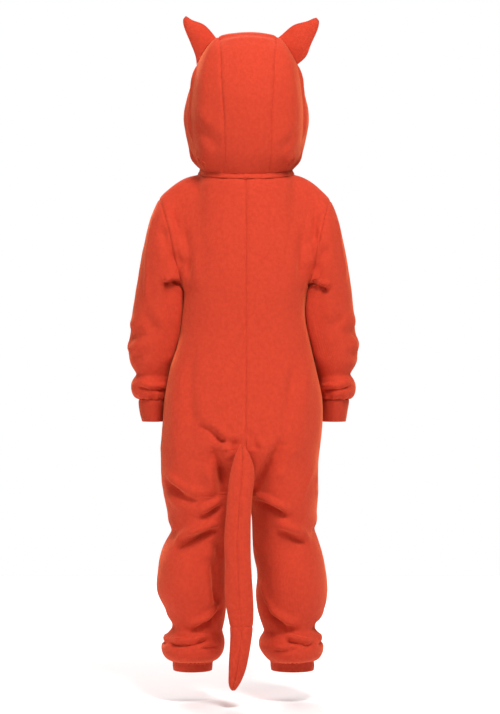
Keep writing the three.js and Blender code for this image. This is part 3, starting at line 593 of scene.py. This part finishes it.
# Where a fold's line lies on the cloth, as points a few millimetres apart.
def foldLine(tree, view, line):
    eye = Vector(cameraSetup["place"])
    corners = [Vector((a * mm, b * mm)) for a, b in line]
    points = []
    for a, b in zip(corners, corners[1:]):
        steps = max(2, int((b - a).length / (4 * mm)))
        points += [a.lerp(b, i / steps) for i in range(steps)]
    points.append(corners[-1])
    found = []
    for p in points:
        if view == "back":
            start, aim = eye, Vector((p.x, 0, p.y)) - eye
        elif view == "front":
            start = Vector((eye.x, -eye.y, eye.z))
            aim = Vector((p.x, 0, p.y)) - start
        else:
            side = 1 if view == "left" else -1
            start, aim = Vector((side, p.x, p.y)), Vector((-side, 0, 0))
        hit = tree.ray_cast(start, aim.normalized())[0]
        if hit:
            found.append(hit)
    return found


foldShape = {
    "troughSharpness": 1.5,
    "ridgeSharpness": 1.1,
    "rollAt": 1.3,  # from the middle of a trough to the top of the cloth rolled over it, in widths
    "rollWidth": 0.75,
    "fadeShare": 0.26,  # of a fold's length, at each end
    "upwards": Vector((0.35, 0.5, 1)),
    "slack": ((46 * mm, 0.9 * mm), (15 * mm, 0.35 * mm)),  # size and height of the unevenness between folds
}


def applyFolds(sheet, folds):
    places, quads = sheet["places"], sheet["quads"]
    normals = vertexNormals(places, quads)
    tree = BVHTree.FromPolygons([Vector(p) for p in places], quads.tolist())
    shift = np.zeros(len(places))
    for view, width, depth, roll, line in folds:
        points = np.array([tuple(p) for p in foldLine(tree, view, line)])
        if len(points) < 3:
            print("a fold missed the cloth:", view, line)
            continue
        facing = np.array([normals[np.argmin(np.sum((places - p) ** 2, axis=1))] for p in points])
        across = np.cross(np.gradient(points, axis=0), facing)
        across /= np.maximum(np.linalg.norm(across, axis=1, keepdims=True), 1e-12)
        across *= np.sign(across @ np.array(foldShape["upwards"]))[:, None]
        low, high = points.min(0) - 3 * width * mm, points.max(0) + 3 * width * mm
        inBox = np.all((places > low) & (places < high), axis=1)
        near = np.where(inBox & (normals @ facing.mean(axis=0) > 0.0))[0]
        if not len(near):
            continue
        offsets = places[near][:, None, :] - points[None, :, :]
        gaps = np.linalg.norm(offsets, axis=2)
        nearest = np.argmin(gaps, axis=1)
        rows = np.arange(len(near))
        reach = gaps[rows, nearest] / (width * mm)
        above = np.sum(offsets[rows, nearest] * across[nearest], axis=1) / (width * mm)
        along = nearest / (len(points) - 1)
        fade = foldShape["fadeShare"]
        ends = smoothStep(along / fade) * smoothStep((1 - along) / fade)
        uneven = 1 + 0.25 * np.sin(along * 9 + width)
        sharpness = foldShape["troughSharpness"] if depth < 0 else foldShape["ridgeSharpness"]
        profile = depth * np.exp(-(reach * sharpness) ** 2)
        if roll:
            over = (above * np.sign(roll) - foldShape["rollAt"]) / foldShape["rollWidth"]
            profile += abs(depth * roll) * np.exp(-over ** 2 - (np.maximum(reach - 2, 0) * 2) ** 2)
        shift[near] += mm * ends * uneven * profile
    for size, height in foldShape["slack"]:
        shift += height * np.array([noise.noise(Vector(p) / size) for p in places])
    sheet["places"] = places + normals * shift[:, None]


puckerSize = 9 * mm


# The cloth dips where two panels are sewn together.
def dipSeams(sheet, depth=1.5 * mm, reach=2.8 * mm):
    places, quads, panels = sheet["places"], sheet["quads"], sheet["panels"]
    low = np.full(len(places), 10 ** 6)
    high = np.full(len(places), -1)
    for i in range(4):
        np.minimum.at(low, quads[:, i], panels)
        np.maximum.at(high, quads[:, i], panels)
    onSeam = np.where(low != high)[0]
    if not len(onSeam):
        return
    tree = treeOf(places, onSeam)
    gap = np.array([tree.find(p)[2] for p in places])
    pucker = np.array([0.85 + 0.6 * noise.noise(Vector(p) / puckerSize) for p in places])
    if "neck_band" in sheet["names"]:  # too narrow for deep dips
        pucker[np.unique(quads[panels == sheet["names"].index("neck_band")])] *= 0.35
    normals = vertexNormals(places, quads)
    sheet["places"] = places - normals * (depth * pucker * np.exp(-(gap / reach) ** 2))[:, None]


# Small upright folds where a wide sleeve or leg is gathered on to its band.
def gatherBands(sheet, look):
    places, quads, panels = sheet["places"], sheet["quads"], sheet["panels"]
    normals = vertexNormals(places, quads)
    shift = np.zeros(len(places))
    for wide, band, folds in look["seams"]:
        ends = []
        for nodeName in (wide, band):
            ends.append(np.unique(quads[panels == sheet["names"].index(nodeName)]))
        ring = np.intersect1d(*ends)
        centre = places[ring].mean(axis=0)
        tree = treeOf(places, ring)
        both = np.union1d(*ends)
        for i in both:
            gap = tree.find(places[i])[2]
            out = places[i] - centre
            turn = math.atan2(out[1], out[0])
            onBand = i in ends[1]
            reach, height = (look["bandReach"], look["bandHeight"]) if onBand else (look["reach"], look["height"])
            wave = math.cos(folds * turn + 2.5 * noise.noise(Vector(out) / look["wander"]))
            share = 0.75 + 0.5 * noise.noise(Vector(places[i]) / look["wander"] + Vector((7, 3, 1)))
            shift[i] += height * share * wave * math.exp(-(gap / reach) ** 2)
    sheet["places"] = places + normals * shift[:, None]


# ---- cutting the sheet into panels with a real wall and rounded edges ----

rimTurns = [math.radians(a) for a in (45, 0, -45)]
seamGap = -0.2 * mm  # sewn edges press into each other


def cutPanel(sheet, number, thickness, material, lift=0.0):
    name = sheet["names"][number]
    chosen = sheet["panels"] == number
    quads, flat = sheet["quads"][chosen], sheet["flat"][chosen]
    used, local = np.unique(quads, return_inverse=True)
    local = local.reshape(-1, 4)
    places = sheet["places"][used]
    normals = sheet["normals"][used]
    count = len(used)
    # directed edges with no twin are the panel's own edge
    starts = local.ravel()
    ends = np.roll(local, -1, axis=1).ravel()
    keys = starts * count + ends
    twins = ends * count + starts
    free = ~np.isin(keys, twins)
    a, b = starts[free], ends[free]
    uvA = flat.reshape(-1, 2)[free]
    uvB = np.roll(flat, -1, axis=1).reshape(-1, 2)[free]
    outward = np.zeros_like(places)
    direction = places[b] - places[a]
    direction /= np.maximum(np.linalg.norm(direction, axis=1, keepdims=True), 1e-12)
    side = np.cross(direction, (normals[a] + normals[b]) / 2)
    np.add.at(outward, a, side)
    np.add.at(outward, b, side)
    size = np.linalg.norm(outward, axis=1, keepdims=True)
    outward = outward / np.maximum(size, 1e-12)
    edge = np.unique(np.concatenate([a, b]))
    middle = places + normals * lift
    middle[edge] -= outward[edge] * (thickness + seamGap) / 2
    outer = middle + normals * thickness / 2
    inner = middle - normals * thickness / 2
    rings = [middle[edge] + outward[edge] * math.cos(t) * thickness / 2 + normals[edge] * math.sin(t) * thickness / 2
             for t in rimTurns]
    vertices = np.concatenate([outer, inner, *rings])
    rank = np.full(count, -1)
    rank[edge] = np.arange(len(edge))
    levels = [(lambda v: v)] + [(lambda v, k=k: 2 * count + k * len(edge) + rank[v]) for k in range(len(rings))]
    levels.append(lambda v: v + count)
    faces = [local, local[:, ::-1] + count]
    uvs = [flat, flat[:, ::-1]]
    for upper, lower in zip(levels, levels[1:]):
        faces.append(np.stack([upper(b), upper(a), lower(a), lower(b)], axis=1))
        uvs.append(np.stack([uvB, uvA, uvA, uvB], axis=1))
    obj = addMesh(name + "_cloth", vertices, np.concatenate(faces), material)
    flatMap = obj.data.uv_layers.new(name="flatCloth")
    flatMap.data.foreach_set("uv", np.concatenate(uvs).astype(np.float32).ravel())
    obj.data.polygons.foreach_set("use_smooth", np.ones(len(obj.data.polygons), dtype=bool))
    area = float(np.sum(np.linalg.norm(np.cross(
        places[local[:, 2]] - places[local[:, 0]], places[local[:, 3]] - places[local[:, 1]]), axis=1)) / 2)
    return obj, area


def finishCloth(obj, nodeName):
    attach(obj, "garment")
    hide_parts(nodeName)


# the cuffs and ankle bands take the fleece with painted shade
clothOf = {"cuff": ("pressed_fleece", pressedFleeceShaded), "ankle": ("pressed_fleece", pressedFleeceShaded),
           "zip": ("zip_tape", wovenTape)}


def cutSheet(sheet):
    sheet["normals"] = vertexNormals(sheet["places"], sheet["quads"])
    for number, nodeName in enumerate(sheet["names"]):
        slotName, material = clothOf.get(nodeName.split("_")[0], ("fleece", brushedFleece))
        obj, area = cutPanel(sheet, number, wallOf.get(nodeName, fleeceWall), material)
        finishCloth(obj, nodeName)


fine = 3
bodyNames = ["back_left", "back_right", "front_left", "front_right", "sleeve_left", "sleeve_right", "cuff_left",
             "cuff_right", "ankle_left", "ankle_right", "neck_band", "hood_centre", "hood_left", "hood_right"]
body = sewnSheet("garment", bodyNames, fine)
gathers = {
    "seams": [  # the wide piece, its band, and how many folds go round
        ("sleeve_left", "cuff_left", 13), ("sleeve_right", "cuff_right", 12),
        ("back_left", "ankle_left", 19), ("front_left", "ankle_left", 19),
        ("back_right", "ankle_right", 18), ("front_right", "ankle_right", 18),
    ],
    "reach": 13 * mm,
    "height": 1.5 * mm,
    "bandReach": 9 * mm,
    "bandHeight": 0.6 * mm,
    "wander": 21 * mm,
}


# The arms hang against the body, so the sleeves' inner sides lie close to it all the way up to the underarm.
def pressSleeves(sheet, look):
    places, quads, panels = sheet["places"], sheet["quads"], sheet["panels"]
    normals = vertexNormals(places, quads)
    torso = quads[panels < 4]
    torsoTree = BVHTree.FromPolygons([Vector(p) for p in places], torso.tolist())
    low, high, fade = look["low"], look["high"], look["fade"]
    for name, side in (("sleeve_left", 1), ("sleeve_right", -1)):
        sleeve = quads[panels == sheet["names"].index(name)]
        shift = np.zeros(len(places))
        for i in np.unique(sleeve):
            place = Vector(places[i])
            if not low < place.z < high or normals[i][0] * side > -0.15:
                continue
            hit = torsoTree.ray_cast(place, Vector((-side, 0, 0)), look["farthest"])
            if hit[0] and hit[3] > look["gap"]:
                share = smoothStep((-normals[i][0] * side - 0.15) / 0.5)
                share *= smoothStep((place.z - low) / fade) * smoothStep((high - place.z) / fade)
                shift[i] = -side * share * (hit[3] - look["gap"])
        for turn in range(look["evening"]):
            shift = neighbourMean(shift, sleeve)
        places[:, 0] += shift


def neighbourMean(values, quads):
    total, count = np.zeros(len(values)), np.full(len(values), 1e-12)
    for i in range(4):
        np.add.at(total, quads[:, i], values[quads].mean(axis=1))
        np.add.at(count, quads[:, i], 1.0)
    return np.where(count > 0.5, total / count, values)


# The neck band lies nearly flush between the hood and the body.
def flattenBand(sheet, name, share):
    places, quads, panels = sheet["places"], sheet["quads"], sheet["panels"]
    number = sheet["names"].index(name)
    hood = [i for i, n in enumerate(sheet["names"]) if n.startswith("hood")]
    band = quads[panels == number]
    mine = np.unique(band)
    ends = np.roll(band, -1, axis=1)
    free = ~np.isin(band * len(places) + ends, ends * len(places) + band)
    rim = np.unique(band[free])
    hoodTree = treeOf(places, np.unique(quads[np.isin(panels, hood)]))
    restTree = treeOf(places, np.unique(quads[~np.isin(panels, [*hood, number])]))
    onHood = np.array([hoodTree.find(places[i])[2] < restTree.find(places[i])[2] for i in rim])
    upper, lower = treeOf(places, rim[onHood]), treeOf(places, rim[~onHood])
    for i in mine:
        place = Vector(places[i])
        a, b = upper.find(place)[0], lower.find(place)[0]
        along = min(1.0, max(0.0, (place - a).dot(b - a) / max((b - a).length_squared, 1e-12)))
        places[i] += share * np.array(a.lerp(b, along) - place)


pressSleeves(body, {"low": -330 * mm, "high": -184 * mm, "fade": 8 * mm, "farthest": 26 * mm, "gap": 3.4 * mm,
                    "evening": 9 if fine == 3 else 3})
flattenBand(body, "neck_band", 0.75)
applyFolds(body, bodyFolds + hoodFolds)
gatherBands(body, gathers)
dipSeams(body)
cutSheet(body)
print("body, sleeves and hood sewn")

for sideName in ("left", "right"):
    ear = sewnSheet("ear", [f"ear_{sideName}_back", f"ear_{sideName}_front"], fine)
    dipSeams(ear, 0.5 * mm)
    cutSheet(ear)
tail = sewnSheet("tail", ["tail_left", "tail_right", "tail_tip_left", "tail_tip_right"], fine)
tailRoot = {"below": -498 * mm, "above": -472 * mm, "sunk": 9 * mm, "narrowed": 0.55}  # it goes into the seat's seam
rootShare = smoothStep((tail["places"][:, 2] - tailRoot["below"]) / (tailRoot["above"] - tailRoot["below"]))
tail["places"][:, 1] -= tailRoot["sunk"] * rootShare
rootMiddle = tail["places"][rootShare > 0.5, 0].mean()
tail["places"][:, 0] += tailRoot["narrowed"] * rootShare ** 2 * (rootMiddle - tail["places"][:, 0])
dipSeams(tail, 0.9 * mm)
cutSheet(tail)
print("ears and tail sewn")

# ---- zip and stitches ----

tapes = sewnSheet("zip", ["zip_tape_left", "zip_tape_right"], fine)
for number in (0, 1):
    chosen = tapes["panels"] == number
    if vertexNormals(tapes["places"], tapes["quads"][chosen])[:, 1].sum() > 0:
        tapes["quads"][chosen] = tapes["quads"][chosen][:, ::-1]
        tapes["flat"][chosen] = tapes["flat"][chosen][:, ::-1]
applyFolds(tapes, [])
cutSheet(tapes)


# Sets a small shape at even steps along each line: its inputs are the step, its three sizes and a step aside.
def repeatTree(name, shape, material):
    tree = bpy.data.node_groups.new(name, "GeometryNodeTree")
    tree.interface.new_socket(name="Geometry", in_out="INPUT", socket_type="NodeSocketGeometry")
    for key in ("pitch", "along", "across", "height", "aside"):
        tree.interface.new_socket(name=key, in_out="INPUT", socket_type="NodeSocketFloat")
    tree.interface.new_socket(name="Geometry", in_out="OUTPUT", socket_type="NodeSocketGeometry")
    given = addNode(tree, "NodeGroupInput")
    line = addNode(tree, "GeometryNodeMeshToCurve", Mesh=given.outputs["Geometry"])
    steps = addNode(tree, "GeometryNodeCurveToPoints", {"mode": "LENGTH"}, Curve=line.outputs[0],
                    Length=given.outputs["pitch"])
    number = addNode(tree, "GeometryNodeInputIndex")
    odd = addNode(tree, "ShaderNodeMath", {"operation": "MODULO"}, i0=number.outputs[0], i1=2.0)
    signed = addNode(tree, "ShaderNodeMath", {"operation": "MULTIPLY_ADD"}, i0=odd.outputs[0], i1=2.0, i2=-1.0)
    shift = addNode(tree, "ShaderNodeMath", {"operation": "MULTIPLY"}, i0=signed.outputs[0],
                    i1=given.outputs["aside"])
    offset = addNode(tree, "ShaderNodeCombineXYZ", X=shift.outputs[0])
    placed = addNode(tree, "GeometryNodeSetPosition", Geometry=steps.outputs["Points"], Offset=offset.outputs[0])
    turned = addNode(tree, "FunctionNodeAlignRotationToVector", {"axis": "X"}, Vector=steps.outputs["Tangent"])
    sizes = addNode(tree, "ShaderNodeCombineXYZ", X=given.outputs["along"], Y=given.outputs["across"],
                    Z=given.outputs["height"])
    if shape == "ball":
        one = addNode(tree, "GeometryNodeMeshUVSphere", Segments=8, Rings=6, Radius=0.5)
    else:
        one = addNode(tree, "GeometryNodeMeshCube", Size=(1, 1, 1))
    many = addNode(tree, "GeometryNodeInstanceOnPoints", Points=placed.outputs[0], Instance=one.outputs[0],
                   Rotation=turned.outputs[0], Scale=sizes.outputs[0])
    whole = addNode(tree, "GeometryNodeRealizeInstances", Geometry=many.outputs[0])
    soft = addNode(tree, "GeometryNodeSetShadeSmooth", Geometry=whole.outputs[0], Shade_Smooth=shape == "ball")
    painted = addNode(tree, "GeometryNodeSetMaterial", Geometry=soft.outputs[0], Material=material)
    addNode(tree, "NodeGroupOutput", Geometry=painted.outputs[0])
    return tree


def repeatAlong(name, lines, tree, sizes):
    vertices, edges = [], []
    for line in lines:
        edges += [(len(vertices) + i, len(vertices) + i + 1) for i in range(len(line) - 1)]
        vertices += [tuple(p) for p in line]
    obj = addMesh(name, vertices, [])
    obj.data.clear_geometry()
    obj.data.from_pydata(vertices, edges, [])
    made = obj.modifiers.new(name, "NODES")
    made.node_group = tree
    for item in tree.interface.items_tree:
        if item.in_out == "INPUT" and item.name in sizes:
            made[item.identifier] = float(sizes[item.name])
    result = evaluated(obj)
    obj.modifiers.clear()
    obj.data = result
    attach(obj, "garment")
    print(name, len(result.polygons), "faces")


toothSizes = {"pitch": 1.5 * mm, "along": 1.0 * mm, "across": 1.5 * mm, "height": 2.6 * mm, "aside": 0.5 * mm}
toothTop, toothBottom = -49 * mm, -479 * mm
innerEdge = [p for p in tapes["places"] if abs(p[0]) < 2.0 * mm and toothBottom < p[2] < toothTop]
innerEdge = sorted({(0.0, round(float(p[1]), 6), round(float(p[2]), 4)) for p in innerEdge}, key=lambda p: -p[2])
innerEdge = [p for i, p in enumerate(innerEdge) if i == 0 or innerEdge[i - 1][2] - p[2] > 1 * mm]
repeatAlong("zip_teeth", [innerEdge], repeatTree("zipTeeth", "block", mouldedPolyester), toothSizes)

stitchSizes = {"pitch": 3.4 * mm, "along": 2.7 * mm, "across": 0.75 * mm, "height": 0.75 * mm, "aside": 0}
topstitch = {"fromEdge": 5.5 * mm, "top": -36 * mm, "bottom": -486 * mm, "hem": 13 * mm}
bodyTree = BVHTree.FromPolygons([Vector(p) for p in body["places"]], body["quads"].tolist())
stitchLines = []
for side in (1, -1):
    line = []
    for i in range(int((topstitch["top"] - topstitch["bottom"]) / (3 * mm))):
        across = side * (5 * mm + topstitch["fromEdge"])
        spot, normal = bodyTree.ray_cast(Vector((across, -1, topstitch["top"] - i * 3 * mm)), Vector((0, 1, 0)))[:2]
        if spot:
            line.append(spot + normal * fleeceWall / 2)
    stitchLines.append(line)


# The hem line runs round the hood's free edge, a little way in from it.
def hemLine(sheet, names, inset):
    numbers = [sheet["names"].index(n) for n in names]
    quads = sheet["quads"]
    ends = np.roll(quads, -1, axis=1)
    count = len(sheet["places"])
    free = ~np.isin(quads * count + ends, ends * count + quads)
    free &= np.isin(sheet["panels"], numbers)[:, None]
    after = dict(zip(quads[free].tolist(), ends[free].tolist()))
    starts = [v for v in after if v not in after.values()]
    at = starts[0] if starts else next(iter(after))
    loop = [at]
    while at in after and after[at] != loop[0]:
        at = after[at]
        loop.append(at)
    bandTree = treeOf(sheet["places"], np.unique(quads[sheet["panels"] == sheet["names"].index("neck_band")]))
    clear = [bandTree.find(sheet["places"][v])[2] > 1.3 * inset for v in loop]
    first = next(i for i in range(len(loop)) if clear[i] and not clear[i - 1])
    line = []
    for i in range(first, first + clear.count(True) - 1):  # from one end of the neck band round to the other
        at, following = loop[i % len(loop)], loop[(i + 1) % len(loop)]
        a, b = (Vector(sheet["places"][v]) for v in (at, following))
        inwards = Vector(sheet["normals"][at]).cross(b - a).normalized()
        spot, normal = bodyTree.find_nearest(a + inwards * inset)[:2]
        line.append(spot + normal * fleeceWall / 2)
    return line


stitchLines.append(hemLine(body, ["hood_left", "hood_centre", "hood_right"], topstitch["hem"]))
stitchTree = repeatTree("stitches", "ball", polyesterThread)
repeatAlong("topstitching", stitchLines, stitchTree, stitchSizes)

for nodeName in ("zip_slider", "zip_pull"):
    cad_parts[nodeName].data.materials.clear()
    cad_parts[nodeName].data.materials.append(tumbledZinc)
